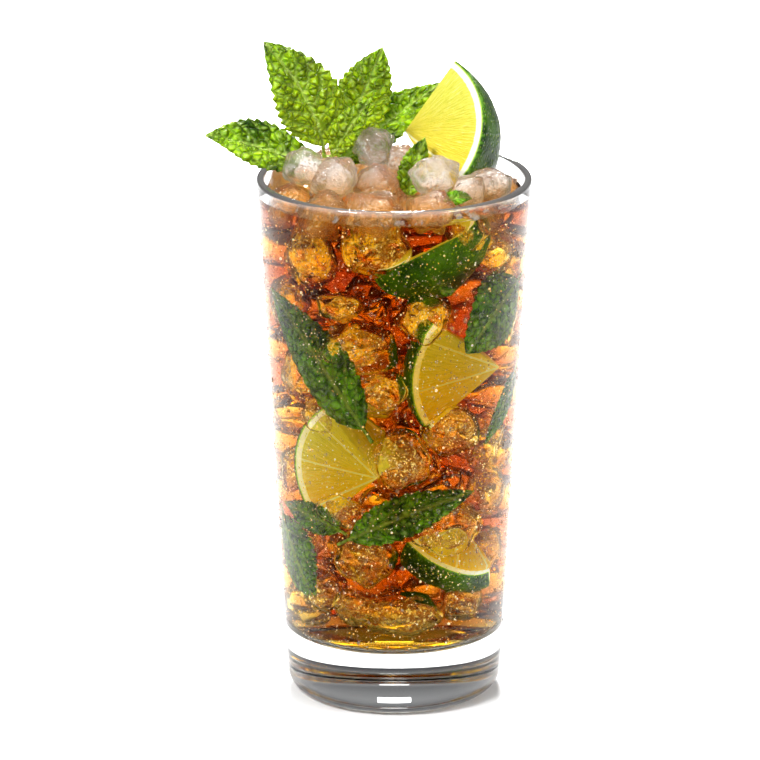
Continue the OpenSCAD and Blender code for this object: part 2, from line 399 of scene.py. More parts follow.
def sunk_ice():
    """Boxes of all sunk lumps: the listed near ones, then rings of others round and behind."""
    boxes = []
    for turn, z, w, d, h in NEAR_ICE:
        a = math.radians(turn)
        r = inner_r(z - h / 2) - d / 2 - 0.5
        boxes.append((r * math.sin(a), -r * math.cos(a), z, w, d, h))
    draw = np.random.default_rng(ICE_SEED)
    for row in range(ICE_ROWS):
        for step in range(RING_LUMPS + CORE_LUMPS):
            ring = step < RING_LUMPS
            turn = math.radians(40 * step + 18 * row if ring else 120 * step + 50 * row)
            w, d, h = draw.uniform(12, 17), draw.uniform(12, 17), draw.uniform(11, 15)
            z = FIRST_ROW + ROW_HEIGHT * row + draw.uniform(-2.5, 2.5)
            r = inner_r(z - h / 2) - d / 2 - 1.0 if ring else CORE_R
            at = np.array((r * math.sin(turn), -r * math.cos(turn), z))
            apart = [np.linalg.norm((at - b[:3]) / ((np.array(b[3:]) + (w, d, h)) / 2))
                     for b in boxes]
            from_limes = np.linalg.norm(LIME_MIDDLES - at, axis=1)
            clear = min(apart) > LUMP_ROOM and from_limes.min() > LIME_ROOM
            if clear and z + h / 2 < level() - 4:
                boxes.append((*at, w, d, h))
    return boxes


def turned_box_lump(k, directions, box, rough):
    """A sunk lump turned so that its depth points away from the axis."""
    x, y, z, w, d, h = box
    points = lump_points(k, directions, (-w / 2, -d / 2, -h / 2), (w / 2, d / 2, h / 2), rough)
    a = math.atan2(x, -y)
    turn = np.array([[math.cos(a), -math.sin(a), 0], [math.sin(a), math.cos(a), 0], [0, 0, 1]])
    return points @ turn.T + (x, y, z)


# ---- Materials ----

def glass_material():
    s = Shader("Clear glass")
    depth = s.node("ShaderNodeVolumeAbsorption", None,
                   {"Color": (0.82, 0.82, 0.825, 1), "Density": 26.0})
    lip = height_share(s, 3.4, 4.9)
    # Painted light: a faint grey glow painted on the top of the lip.
    painted_lip_glow = s.mix(lip, (0, 0, 0), (0.14, 0.135, 0.13))
    return s.finish(volume=depth, Base_Color=(0.985, 0.995, 0.99, 1), Roughness=0.0, IOR=1.5,
                    Transmission_Weight=1.0, Specular_Tint=(0.03, 0.03, 0.03, 1),
                    Coat_Weight=lip * 0.8, Coat_Roughness=0.02, Emission_Color=painted_lip_glow,
                    Emission_Strength=1.0)


def drink_material():
    s = Shader("Amber drink")
    p = settings()
    frost = s.attribute("frost")
    grain = s.noise(700, 2)
    rough = frost * (grain.span(0.35, 0.75) * 0.35 + 0.05)
    normal = s.bump(s.noise(420, 3, 0.6) * frost, 0.5, 0.0004)
    depth = s.node("ShaderNodeVolumeAbsorption", None,
                   {"Color": rgba(p.drink_tint), "Density": p.drink_depth})
    return s.finish(volume=depth, Base_Color=(1, 1, 1, 1), Roughness=rough, IOR=1.18,
                    Transmission_Weight=1.0, Specular_Tint=(0.05, 0.05, 0.05, 1), Normal=normal)


def height_share(s, low, high):
    """0 at low and 1 at high, both in millimetres above the drink's surface."""
    z = s.node("ShaderNodeSeparateXYZ", None, {0: s.place()}, out=2)
    return z.span((level() + low) * MM, (level() + high) * MM)


def ice_material():
    s = Shader("Wet ice")
    cloud = s.noise(150, 3, 0.6)
    grain = s.noise(1300, 3, 0.6)
    # Tan near the drink's surface, near white higher up: partly a film of drink on the ice, partly
    # painted drink-coloured light from below.
    tint = s.mix(height_share(s, 3.0, 12.0), (0.90, 0.58, 0.22), (0.985, 0.97, 0.955))
    rough = cloud.span(0.5, 0.7) * 0.3 + 0.03
    normal = s.bump(grain + cloud * 1.5, 0.9, 0.0005)
    return s.finish(Base_Color=tint, Roughness=rough, IOR=1.31,
                    Transmission_Weight=0.95, Normal=normal)


def frost_material(name, deep, low, high, bright, thick, painted_glow, change):
    """Cloudy ice: thin veils that go from the low to the high colour, clear ice between. The change
    of colour with height is painted light, the specks in the bright colour are painted glints, and
    the veils glow with painted light.
    """
    s = Shader(name)
    veil = s.noise(190, 4, 0.7).span(0.42, 0.62)
    # Painted light: the veils change from the low to the high colour with height.
    tint = s.mix(height_share(s, *change), low, high)
    shade = s.noise(75, 2)
    tint = s.mix(shade.span(0.52, 0.40) * 0.8, tint, deep)
    speck = s.noise(1150, 2, 0.6)
    tint = s.mix(speck.span(0.50, 0.38) * 0.8, tint, deep)
    # Painted glints: specks in the bright colour.
    tint = s.mix(speck.span(0.56, 0.64), tint, bright)
    # Painted glow: the veils give off light in their own colour.
    return s.finish(Base_Color=tint, Roughness=0.35, Specular_IOR_Level=0.15, Alpha=veil * thick,
                    Emission_Color=tint, Emission_Strength=painted_glow,
                    Normal=s.bump(speck, 1.0, 0.0008))


def chip_material():
    s = Shader("Ice chips")
    tint = s.mix(s.noise(300, 1).span(0.35, 0.65), (0.93, 0.90, 0.86), (1.0, 0.99, 0.98))
    return s.finish(Base_Color=tint, Roughness=0.08, IOR=1.31, Transmission_Weight=0.85)


def bubble_material():
    """Fine bubbles as pale gold specks: painted glints that glow with painted light."""
    s = Shader("Bubbles")
    tint = s.mix(s.noise(500, 1).span(0.4, 0.6), (0.95, 0.55, 0.15), (1.0, 0.93, 0.75))
    # Painted glow: the specks give off light in their own pale gold.
    return s.finish(Base_Color=tint, Roughness=0.12, IOR=1.45, Coat_Weight=0.6,
                    Emission_Color=tint, Emission_Strength=1.0)


def droplet_material():
    s = Shader("Water droplets")
    return s.finish(Base_Color=(1, 1, 1, 1), Roughness=0.0, IOR=1.33, Transmission_Weight=1.0)


def lime_material(name, painted_warm_light, painted_glow=0.0):
    """Lime by distance to its skin: rind, cream pith, then flesh in streaks. The flesh is painted
    yellow-green higher up and warm orange lower down as painted light, and steeped wedges glow with
    painted light.
    """
    s = Shader(name)
    skin, wall, grain = s.attribute("skin"), s.attribute("wall"), s.attribute("grain", True)
    outside, painted_light_height = s.attribute("outside"), s.attribute("painted_light_height")
    streak = s.noise(1.0, 3, 0.6, grain)
    # Painted light by height: the flesh is yellow-green higher up and orange lower down, the more
    # so by painted_warm_light.
    flesh = s.mix(painted_light_height.span(0.1, 0.9), (0.78, 0.53, 0.012), (0.60, 0.58, 0.07))
    flesh = s.mix(painted_light_height.span(0.35, 0.0) * painted_warm_light, flesh, (0.78, 0.36, 0.01))
    flesh = s.mix(streak.span(0.55, 0.30) * 0.5, flesh, (0.42, 0.42, 0.02))
    flesh = s.mix(streak.span(0.56, 0.75) * 0.6, flesh, (0.84, 0.80, 0.26))
    flesh = s.mix(wall.span(0.45, 0.12) * 0.75, flesh, (0.86, 0.84, 0.46))
    pith = s.mix(s.noise(900, 2).span(0.3, 0.7), (0.90, 0.89, 0.66), (0.97, 0.96, 0.84))
    face = s.mix((skin + (s.noise(500, 1) - 0.5) * 0.5).span(2.15, 2.5), pith, flesh)
    face = s.mix(skin.span(0.95, 0.6), face, (0.42, 0.60, 0.07))
    face = s.mix(skin.span(0.5, 0.25), face, (0.10, 0.26, 0.02))
    pores = s.cells(850)
    rind = s.mix(s.noise(120, 3).span(0.35, 0.7), (0.009, 0.040, 0.001), (0.045, 0.13, 0.002))
    rind = s.mix(pores.span(0.30, 0.08) * 0.85, rind, (0.38, 0.52, 0.03))
    color = s.mix(outside, face, rind)
    relief = s.mix(outside, streak, pores.span(0.0, 0.55))
    rough = outside * 0.05 + 0.28
    # Painted glow: steeped wedges give off light in their own colour.
    return s.finish(Base_Color=color, Roughness=rough, Normal=s.bump(relief, 0.8, 0.0007),
                    Specular_IOR_Level=0.15, Subsurface_Weight=0.12,
                    Emission_Color=color, Emission_Strength=painted_glow,
                    Subsurface_Radius=(0.9, 0.8, 0.2), Subsurface_Scale=0.002)


def mint_material(name, dark, bright, painted_furrow_shade, painted_glow=0.0):
    """Mint leaf: puffed cells in a net of paler veins, yellow-green where the leaf is young, with
    painted shade in the furrows of the net, painted highlights in the middles of the cells and a
    painted glow.
    """
    s = Shader(name)
    vein, young = s.attribute("vein"), s.attribute("young")
    patch = s.noise(190, 3, 0.6)
    warped = s.node("ShaderNodeVectorMath", {"operation": "ADD"}, {
        0: s.place(), 1: s.node("ShaderNodeVectorMath", {"operation": "SCALE"}, {
            0: s.node("ShaderNodeTexNoise", None, {"Vector": s.place(), "Scale": 300.0}, out=1),
            "Scale": 0.0016})})
    net = s.cells(430, warped, "DISTANCE_TO_EDGE")
    blade = s.mix(patch.span(0.3, 0.72), dark, bright)
    blade = s.mix(young, blade, (0.50, 0.64, 0.012))
    # Painted shade: the furrows of the net are darkened.
    blade = s.mix(net.span(0.16, 0.02) * (0.7 - vein * 0.5), blade, painted_furrow_shade, "MULTIPLY")
    # Painted highlights: the middles of the cells are lightened.
    blade = s.mix(s.cells(430, warped).span(0.34, 0.10) * 0.32, blade, (0.62, 0.82, 0.22))
    color = s.mix(vein * 0.8, blade, (0.44, 0.60, 0.12))
    rough = patch.span(0.3, 0.7) * 0.14 + 0.17
    puff = net.span(0.0, 0.30)
    # Painted glow: the leaf gives off light in its own colour.
    return s.finish(Base_Color=color, Roughness=rough, Specular_IOR_Level=0.22,
                    Normal=s.bump(puff + s.noise(700, 2) * 0.4, 1.0, 0.0009),
                    Emission_Color=color, Emission_Strength=painted_glow, Subsurface_Weight=0.12,
                    Subsurface_Radius=(0.3, 0.9, 0.1), Subsurface_Scale=0.0015)


# ---- Lime wedges ----

FRESH_FULLNESS, STEEPED_FULLNESS = 2.7, 2.1  # 2 is an ellipse, more is blunter


def lime_wedge(tip, right, up, radius, half, start, angle, walls, seed, fullness):
    """A wedge of half a lime. right and up span its cut face; it grows away behind that face."""
    right, up = unit(right), np.array(up, float)
    up = unit(up - right * (up @ right))
    back = -np.cross(right, up)
    turns, spokes, rows = 64, 44, 40
    q = np.linspace(0, math.pi / 2, rows + 1)
    pr = radius * np.cos(q) ** (2 / fullness)
    pr[-1] = 0.0
    pz = (half - 1.5) * np.sin(q) ** (2 / fullness) + 1.5 * np.sin(q) ** 20
    steps = np.linspace(0, rows, 400)
    fine = np.stack([np.interp(steps, np.arange(rows + 1), v) for v in (pr, pz)], 1)
    points, faces, skin, wall, grain, outside, painted_light_height = [], [], [], [], [], [], []

    def patch(nu, nv, at, is_rind):
        start_index = len(points)
        for i in range(nu + 1):
            for j in range(nv + 1):
                r, a, z, depth, near_wall = at(i, j)
                t = math.radians(start + a)
                local = np.array((r * math.cos(t), r * math.sin(t), z))
                shrink = 1.0
                if is_rind:
                    inward = 0.16 * bumps(local, 1.15, seed) + 0.35 * bumps(local, 7.0, seed)
                    edge = min(1.0, 6.0 * min(j, nv - j) / nv, 8.0 * i / nu)
                    shrink = 1.0 + inward * edge / radius
                    depth = 0.0
                points.append(tip + right * local[0] * shrink + up * local[1] * shrink
                              + back * local[2])
                skin.append(depth)
                wall.append(near_wall)
                grain.append((r * 0.30, a * radius * 0.030, z * 0.5 + seed))
                outside.append(1.0 if is_rind else 0.0)
                # Height above the tip, which sets the painted light in the flesh.
                painted_light_height.append(0.5 + 0.75 * (points[-1][2] - tip[2]) / radius)
        for i in range(nu):
            for j in range(nv):
                k = start_index + i * (nv + 1) + j
                faces.append([k, k + 1, k + nv + 2, k + nv + 1])

    def sector(i, j):
        r, a = radius * i / spokes, angle * j / turns
        near = min(abs(math.radians(a - w)) * r for w in walls)
        inner = min(1.0, max(0.0, radius - 2.4 - r) / 1.2)
        edge = min(1.0, 5.0 * min(j, turns - j) / turns)
        puff = (0.55 * min(1.0, near / 1.4) * inner
                + 0.22 * inner * bumps((r * 0.55, a * radius * 0.016, seed), 0.55))
        return r, a, -puff * edge, radius - r, near

    def rind(i, j):
        return pr[i], angle * j / turns, pz[i], 0.0, 9.0

    def side(turn):
        def at(i, k):
            r, z = pr[i] * k / spokes, pz[i]
            gap = float(np.min(np.hypot(fine[:, 0] - r, fine[:, 1] - z)))
            return r, turn, z, gap, r + 0.3
        return at

    patch(spokes, turns, sector, False)
    patch(rows, turns, rind, True)
    patch(rows, spokes, side(0.0), False)
    patch(rows, spokes, side(angle), False)
    values = {"skin": skin, "wall": wall, "outside": outside, "painted_light_height": painted_light_height}
    return np.array(points), faces, values, {"grain": grain}


# ---- Mint leaves ----

LEAF_TEETH = 14
LEAF_VEINS = 7
LEAF_THICK = 0.5
LEAF_DROOP = 0.12
STALK_HALF = 0.55
PUFF = 0.08  # height of the puffed cells, as a share of the leaf's width
WAVE = 0.035


def leaf(middle, width, up, fold, young, seed, rows=126, across=24):
    """A mint leaf along three points: serrated, folded on its midrib, puffed between its veins."""
    p = [np.array(v, float) for v in middle]
    points, vein, fresh = [], [], []
    fold = math.radians(fold)
    for i in range(rows + 1):
        s = i / rows
        for j in range(-across // 2, across // 2 + 1):
            t = 2.0 * j / across
            m = abs(t)
            forward = 0.10 * m * m * math.sin(math.pi * s)
            at_s = min(1.0, s + forward * 0.5)
            at = (1 - at_s) ** 2 * p[0] + 2 * at_s * (1 - at_s) * p[1] + at_s ** 2 * p[2]
            along = unit((1 - at_s) * (p[1] - p[0]) + at_s * (p[2] - p[1]))
            side = unit(np.cross(along, up))
            out = np.cross(side, along)
            blade_s = max(0.0, s - 0.1) / 0.9
            outline = max(0.0, math.sin(math.pi * blade_s ** 0.72)) ** 0.85
            saw = (s * LEAF_TEETH) % 1.0
            tooth = 1 + 0.15 * ((saw if saw < 0.8 else 0.8 * (1 - saw) / 0.2) - 0.4) * m ** 8
            half = max(STALK_HALF * (1 - s), 0.2, width / 2 * outline * tooth)
            q = s * LEAF_VEINS * 1.15 - m * 1.5 + (0.5 if t > 0 else 0.0)
            cell = q % 1.0
            inside = min(1.0, outline * 3)
            ridge = abs(2 * cell - 1) ** 5 * inside
            rib = math.exp(-((t * half) / 0.42) ** 2)
            puff = PUFF * width * (1 - abs(2 * cell - 1) ** 2.6) * min(1.0, m * 3.5) * (1 - m ** 5)
            puff *= inside * (0.75 + 0.5 * bumps(at + side * t * half, 2.2, seed))
            wave = WAVE * width * m * m * math.sin(9.0 * s + seed * 2.1 + (1.7 if t > 0 else 0))
            lift = half * (m * math.sin(fold) - LEAF_DROOP * t * t) + puff + wave * inside
            lift -= 0.30 * rib * inside
            points.append((at + side * half * t * math.cos(fold), out, lift,
                           LEAF_THICK * (0.35 if m > 0.99 else 1.0) * (1.0 + 0.9 * rib)))
            vein.append(max(rib, 0.75 * ridge * (1 - 0.5 * m)))
            fresh.append(young * (1 - s) ** 1.3 + 0.25 * rib)
    top = [a + o * (h + d / 2) for a, o, h, d in points]
    low = [a + o * (h - d / 2) for a, o, h, d in points]
    n, w = len(top), across + 1
    faces = []
    for i in range(rows):
        for j in range(across):
            a = i * w + j
            faces.append([a, a + 1, a + w + 1, a + w])
            faces.append([n + a, n + a + w, n + a + w + 1, n + a + 1])
    rim = (list(range(w)) + [i * w + across for i in range(1, rows + 1)]
           + [rows * w + j for j in range(across - 1, -1, -1)]
           + [i * w for i in range(rows - 1, 0, -1)])
    for a, b in zip(rim, rim[1:] + rim[:1]):
        faces.append([a, n + a, n + b, b])
    return np.array(top + low), faces, {"vein": vein * 2, "young": fresh * 2}


STEM_SIDES = 12
STEM_SQUARE = 0.08


def rod(path, radius):
    """A closed, slightly square stem along a path, with blunt ends."""
    sides, points, faces = STEM_SIDES, [], []
    for i, at in enumerate(path):
        ahead = unit(path[min(i + 1, len(path) - 1)] - path[max(i - 1, 0)])
        side = unit(np.cross(ahead, (0.3, 1.0, 0.1)))
        other = np.cross(ahead, side)
        for k in range(sides):
            a = 2 * math.pi * k / sides
            r = radius * (1 + STEM_SQUARE * abs(math.cos(2 * a))) * (1 + 0.04 * math.sin(7 * i))
            points.append(at + (side * math.cos(a) + other * math.sin(a)) * r)
    for i in range(len(path) - 1):
        for k in range(sides):
            a, b = i * sides + k, i * sides + (k + 1) % sides
            faces.append([a, b, b + sides, a + sides])
    last = (len(path) - 1) * sides
    points += [path[0], path[-1]]
    for k in range(sides):
        n = (k + 1) % sides
        faces.append([n, k, len(points) - 2])
        faces.append([last + k, last + n, len(points) - 1])
    return np.array(points), faces, {"vein": [0.15] * len(points), "young": [0.8] * len(points)}


def gather(parts):
    """Joins parts that carry values."""
    points, faces = join([(p[0], p[1]) for p in parts])
    values = {key: np.concatenate([np.asarray(p[2][key], float) for p in parts])
              for key in parts[0][2]}
    return points, faces, values


# ---- Geometry Nodes: one small shape on many points ----

SIZE_INPUT = "Size of all"  # multiplies the radius of each point


def scatter_tree(name, sides, material):
    """Puts a ball, or a chip where sides is 0, on every point, by the point's size and turn."""
    tree = bpy.data.node_groups.new(name, "GeometryNodeTree")
    for way in ("INPUT", "OUTPUT"):
        tree.interface.new_socket("Geometry", in_out=way, socket_type="NodeSocketGeometry")
    tree.interface.new_socket(SIZE_INPUT, in_out="INPUT", socket_type="NodeSocketFloat")
    make, link = tree.nodes.new, tree.links.new
    source, result = make("NodeGroupInput"), make("NodeGroupOutput")
    shape = make("GeometryNodeMeshUVSphere" if sides else "GeometryNodeMeshIcoSphere")
    if sides:
        shape.inputs["Segments"].default_value = sides
        shape.inputs["Rings"].default_value = sides - 2
    place, real = make("GeometryNodeInstanceOnPoints"), make("GeometryNodeRealizeInstances")
    smooth, paint = make("GeometryNodeSetShadeSmooth"), make("GeometryNodeSetMaterial")
    paint.inputs["Material"].default_value = material
    smooth.inputs["Shade Smooth"].default_value = bool(sides)
    link(source.outputs[SIZE_INPUT], shape.inputs["Radius"])
    link(source.outputs["Geometry"], place.inputs["Points"])
    link(shape.outputs["Mesh"], place.inputs["Instance"])
    for key, end in (("size", "Scale"), ("turn", "Rotation")):
        value = make("GeometryNodeInputNamedAttribute")
        value.data_type = "FLOAT_VECTOR"
        value.inputs["Name"].default_value = key
        link(value.outputs["Attribute"], place.inputs[end])
    link(place.outputs["Instances"], real.inputs["Geometry"])
    for first, then in ((real, smooth), (smooth, paint), (paint, result)):
        link(first.outputs["Geometry"], then.inputs["Geometry"])
    return tree


def scatter(name, points, sizes, turns, sides, material, slot):
    """A plain mesh of small balls or chips at the points, made by Geometry Nodes."""
    seeds = make_piece(name + "_points", points, [], material, slot,
                       vectors={"size": np.asarray(sizes) * MM, "turn": turns})
    tree = scatter_tree(name + "_tree", sides, material)
    modifier = seeds.modifiers.new("Scatter", "NODES")
    modifier.node_group = tree
    modifier[tree.interface.items_tree[SIZE_INPUT].identifier] = 1.0
    mesh = plain_mesh(seeds, name)
    bpy.data.objects.remove(seeds)
    return add_piece(name, mesh, slot)


# ---- Operators: one for each piece or group of like pieces ----

LATHE_SIDES = 144


def glass_profile():
    """The outline of the glass, from the punt round the heel and lip to the floor inside."""
    s = settings()
    a = math.degrees(lean())
    mid = (outer_r(GLASS_H - s.wall / 2) + inner_r(GLASS_H - s.wall / 2)) / 2
    ring_out = s.foot_r - s.heel_r
    ring_in = ring_out - s.foot_ring
    punt_r = (ring_in ** 2 + s.punt_h ** 2) / (2 * s.punt_h)
    half = math.degrees(math.asin(ring_in / punt_r))
    corner = s.base_t + s.floor_r
    wall_z = np.linspace(s.heel_r + 6, GLASS_H - 6, 24)
    points = [(0.0, s.punt_h)] + arc(0, s.punt_h - punt_r, punt_r, 90, 90 - half, 16)[1:]
    points += arc(ring_out, s.heel_r, s.heel_r, -90, 0, 16)
    points += [(outer_r(z), z) for z in wall_z]
    points += arc(mid, GLASS_H - s.wall / 2, s.wall / 2, -a, 180 - a, 18)
    points += [(inner_r(z), z) for z in wall_z[::-1] if z > corner + 4]
    points += arc(inner_r(corner) - s.floor_r, corner, s.floor_r, -a, -90, 12)
    flat = inner_r(corner) - s.floor_r
    points += [(flat * (1 - k / 8), s.base_t) for k in range(1, 8)] + [(0.0, s.base_t)]
    return points


class DRINK_OT_glass(bpy.types.Operator):
    """Turns the glass on its axis: heavy base with a punt, leaning wall, fire-rounded lip"""
    bl_idname = "drink.glass"
    bl_label = "Glass"

    def execute(self, context):
        points, faces = lathe(glass_profile(), LATHE_SIDES)
        piece = make_piece("highball_glass", points, faces, glass_material(), "glass", recalc=True)
        settle(piece, "glass")
        return {"FINISHED"}


def surface_height(x, y):
    """Height of the drink's surface: waves between the lumps and a climb at the wall."""
    s = settings()
    r = math.hypot(x, y)
    edge = inner_r(level())
    climb = s.meniscus * math.exp(-max(0.0, edge - r) / 1.1)
    p = (x, y, 0)
    waves = 0.55 * bumps(p, 7.0, 3.0) + 0.25 * bumps(p, 2.6, 5.0)
    return level() + waves + climb * (1 + 0.5 * bumps(p, 6.0, 8.0))


def drink_mesh_object():
    """The drink without its ice: it reaches a little into the wall and has a wavy surface."""
    s = settings()
    a = math.degrees(lean())
    corner = s.base_t + s.floor_r
    flat = inner_r(corner) - s.floor_r
    profile = [(0.0, s.base_t - s.reach)]
    profile += [(flat * k / 8, s.base_t - s.reach) for k in range(1, 8)]
    profile += arc(flat, corner, s.floor_r + s.reach, -90, -a, 12)
    profile += [(inner_r(z) + s.reach, z) for z in np.linspace(corner + 5, level() - 3, 30)]
    top = len(profile)
    edge = inner_r(level()) + s.reach
    profile += [(edge - step, level()) for step in (0.0, 0.25, 0.5, 0.8, 1.2, 1.8, 2.6)]
    profile += [((edge - 2.6) * (1 - k / 24), level()) for k in range(1, 24)] + [(0.0, level())]
    points, faces = lathe(profile, LATHE_SIDES)
    ring_start = 1 + (top - 1) * LATHE_SIDES
    points = np.array(points)
    for i in range(ring_start, len(points)):
        points[i][2] = surface_height(points[i][0], points[i][1])
    return make_piece("drink_body", points, faces, drink_material(), "drink", recalc=True)


TOP_GAP = 0.12  # from the drink's hollows to the lumps that float in them
CLOUD_SHARE = 0.84


class DRINK_OT_drink(bpy.types.Operator):
    """Fills the glass and hollows the sunk ice lumps out of the drink"""
    bl_idname = "drink.drink"
    bl_label = "Drink and sunk ice"

    def execute(self, context):
        body = drink_mesh_object()
        material = body.data.materials[0]
        directions, faces = ball()
        boxes = sunk_ice()
        shapes = [press_inside(turned_box_lump(k + 40, directions, box, 0.35), 0.5)
                  for k, box in enumerate(boxes)]
        for k, (low, high) in enumerate(map(node_box, ICE_NODES)):
            shapes.append(lump_points(k, directions, low + TOP_GAP, high - TOP_GAP, 0.22))
        cutters = bpy.data.collections.new("Sunk ice")
        context.scene.collection.children.link(cutters)
        for k, points in enumerate(shapes):
            lump = make_piece(f"lump_{k}", points, faces, material, "drink", recalc=True)
            context.scene.collection.objects.unlink(lump)
            cutters.objects.link(lump)
        cut = body.modifiers.new("Ice", "BOOLEAN")
        cut.operation, cut.solver = "DIFFERENCE", "MANIFOLD"
        cut.operand_type, cut.collection = "COLLECTION", cutters
        mesh = plain_mesh(body, "drink")
        for lump in (*cutters.objects, body):
            bpy.data.objects.remove(lump)
        bpy.data.collections.remove(cutters)
        self.mark_frost(mesh)
        mesh.materials.clear()
        mesh.materials.append(material)
        clouds = []
        for k, box in enumerate(boxes[:len(NEAR_ICE)]):
            small = (*box[:3], *(CLOUD_SHARE * side for side in box[3:]))
            points = turned_box_lump(k + 41, directions, small, 0.5)
            clouds.append((press_inside(points, 1.0), faces))
        # Painted light: the sunk veils are dark brown deep in the drink and gold higher up, with
        # pale gold painted glints and a painted glow.
        paint = frost_material("Sunk cloudy ice", deep=(0.17, 0.045, 0.002),
                               low=(0.30, 0.11, 0.012), high=(1.0, 0.55, 0.012),
                               bright=(1.0, 0.80, 0.32), thick=0.68, painted_glow=0.85,
                               change=(-80.0, -30.0))
        settle(make_piece("sunk_ice_clouds", *join(clouds), paint, "ice", recalc=True))
        settle(add_piece("iced_drink", mesh, "drink"), "drink")
        return {"FINISHED"}

    def mark_frost(self, mesh):
        """Frost is 0 on the drink's outside and patchy on the ice."""
        s = settings()
        frost = []
        for vertex in mesh.vertices:
            x, y, z = vertex.co / MM
            on_wall = math.hypot(x, y) > inner_r(z) + s.reach - 0.05
            on_floor = z <= s.base_t - s.reach + 0.01
            patch = 0.5 + 0.9 * bumps((x, y, z), 9.0, 4.0)
            outside = on_wall or on_floor or z > level() - 2.0
            frost.append(0.0 if outside else min(1.0, max(0.1, patch)))
        mesh.attributes.new("frost", "FLOAT", "POINT").data.foreach_set("value", frost)
        mesh.shade_smooth()


SWELL = 1.16  # lumps freeze to their neighbours
ICE_CORES = ((0.80, 0), (0.45, 7))  # share of the lump, and how far its number moves on


class DRINK_OT_ice(bpy.types.Operator):
    """Makes the ice lumps that crown the drink, with cloudy veils inside them"""
    bl_idname = "drink.ice"
    bl_label = "Ice"

    def execute(self, context):
        directions, faces = ball()
        lumps, cores = [], []
        for k, (low, high) in enumerate(map(node_box, ICE_NODES)):
            middle, reach = (low + high) / 2, (high - low) / 2

            def lump(number, share, rough):
                return lump_points(number, directions, middle - reach * share,
                                   middle + reach * share, rough, SHARP_EDGE)

            lumps.append((press_inside(lump(k, SWELL, 0.5)), faces))
            cores += [(lump(k + turn, share, 0.9), faces) for share, turn in ICE_CORES]
        crown = make_piece("ice_crown", *join(lumps), ice_material(), "ice", recalc=True)
        settle(crown, *ICE_NODES)
        # Painted light: the veils in the crown are amber near the drink and white higher up, with
        # painted glints and a painted glow.
        paint = frost_material("Cloudy ice", deep=(0.26, 0.12, 0.03), low=(0.78, 0.44, 0.14),
                               high=(1.0, 0.96, 0.91), bright=(1.0, 0.99, 0.97), thick=0.74,
                               painted_glow=0.62, change=(3.0, 10.0))
        settle(make_piece("ice_clouds", *join(cores), paint, "ice", recalc=True))
        return {"FINISHED"}


class DRINK_OT_chips(bpy.types.Operator):
    """Scatters small ice chips over the surface of the drink"""
    bl_idname = "drink.chips"
    bl_label = "Ice chips"

    def execute(self, context):
        draw, count = np.random.default_rng(5), settings().chip_count
        r = (inner_r(level()) - 1.2) * np.sqrt(draw.uniform(0, 1, count))
        a = draw.uniform(0, 2 * math.pi, count)
        points = np.stack([r * np.cos(a), r * np.sin(a), np.zeros(count)], 1)
        lift = draw.uniform(-0.4, 1.6, count)
        for p, h in zip(points, lift):
            p[2] = surface_height(p[0], p[1]) + h
        sizes = draw.uniform(0.35, 1.25, (count, 3))
        settle(scatter("ice_chips", points, sizes, draw.uniform(0, 6.28, (count, 3)), 0,
                       chip_material(), "ice"))
        return {"FINISHED"}


GARNISH_TIP = (3.0, 0.0, 18.3)  # above the drink's surface
GARNISH = {"right": (0.866, -0.5, 0.0), "up": (0.25, 0.433, 0.866), "radius": 24.5, "half": 30.0,
           "start": -42, "angle": 108, "walls": (14.5, -24.0), "seed": 1.0,
           "fullness": FRESH_FULLNESS}

# Sunk lime wedges: tip, right and up on the cut face, radius, half length, start, angle, share of
# painted warm light at the bottom.
SUNK_LIMES = [
    ("lime_under_surface", (7.0, -11.5, 133.5), (0.867, 0.307, 0.391), (-0.24, 0.9, -0.33),
     21.5, 13.5, 217, 106, 0.35),
    ("lime_right", (28.0, -15.0, 100.5), (0.89, 0.455, 0.0), (0.05, -0.12, 1.0),
     26.5, 22, 141, 76, 0.6),
    ("lime_left", (-4.5, -27.0, 71.5), (0.89, -0.43, 0.0), (-0.05, -0.12, 1.0),
     25.0, 20, 126, 96, 0.7),
    ("lime_low", (17.3, -6.0, 50.5), (0.90, 0.1, -0.40), (0.2, 0.9, 0.35),
     20.0, 18, 225, 90, 0.9),
]
SEGMENT_WALLS = range(-24, 157, 36)  # degrees
# Strength of the painted glow of the steeped wedges.
STEEPED_PAINTED_GLOW = 0.62


class DRINK_OT_lime(bpy.types.Operator):
    """Makes the lime wedge on the ice and the four wedges in the drink"""
    bl_idname = "drink.lime"
    bl_label = "Lime"

    def execute(self, context):
        points, faces, values, vectors = lime_wedge(np.array(GARNISH_TIP) + (0, 0, level()),
                                                    **GARNISH)
        # The garnish gets a little painted warm light low on its flesh.
        settle(make_piece("lime_garnish", points, faces, lime_material("Fresh lime", 0.35), "lime",
                          values, vectors, weld=True), "lime_wedge")
        for k, (name, *shape, painted_warm_light) in enumerate(SUNK_LIMES):
            points, faces, values, vectors = lime_wedge(*shape, SEGMENT_WALLS, 2.0 + k,
                                                        STEEPED_FULLNESS)
            paint = lime_material("Steeped lime " + name[5:], painted_warm_light, STEEPED_PAINTED_GLOW)
            settle(make_piece(name, press_inside(points), faces, paint, "lime", values, vectors,
                              weld=True))
        return {"FINISHED"}


